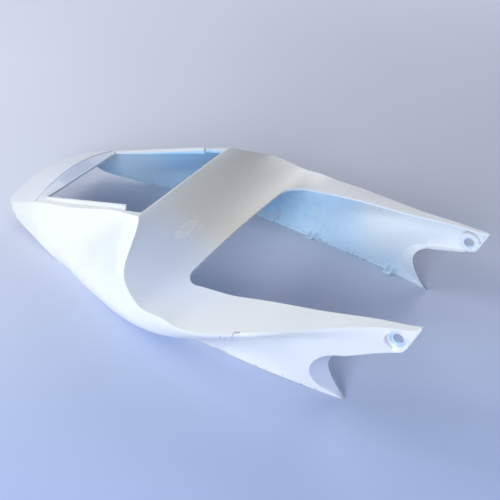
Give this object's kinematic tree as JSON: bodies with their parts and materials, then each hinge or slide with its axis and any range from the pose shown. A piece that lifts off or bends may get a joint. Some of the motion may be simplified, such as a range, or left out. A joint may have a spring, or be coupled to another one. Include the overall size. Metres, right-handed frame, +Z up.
{
  "type": "motorcycle tail fairing",
  "caption": "One-piece moulded tail fairing shell for a sports motorcycle, with a passenger seat opening, a dished saddle and forward arms beside the rider seat.",
  "frame": {"origin": "middle of the shell's box, on the plane that the lower rim stands on", "axes": "+X forward along the motorcycle, towards the arm tips, +Y to the rider's left, +Z up"},
  "size_m": [0.7498, 0.434, 0.1536],
  "materials": {
    "white_plastic": "glossy white moulded plastic, used, with fine scuffs"
  },
  "bodies": {
    "root": {"tail_fairing": "white_plastic"}
  },
  "joints": []
}
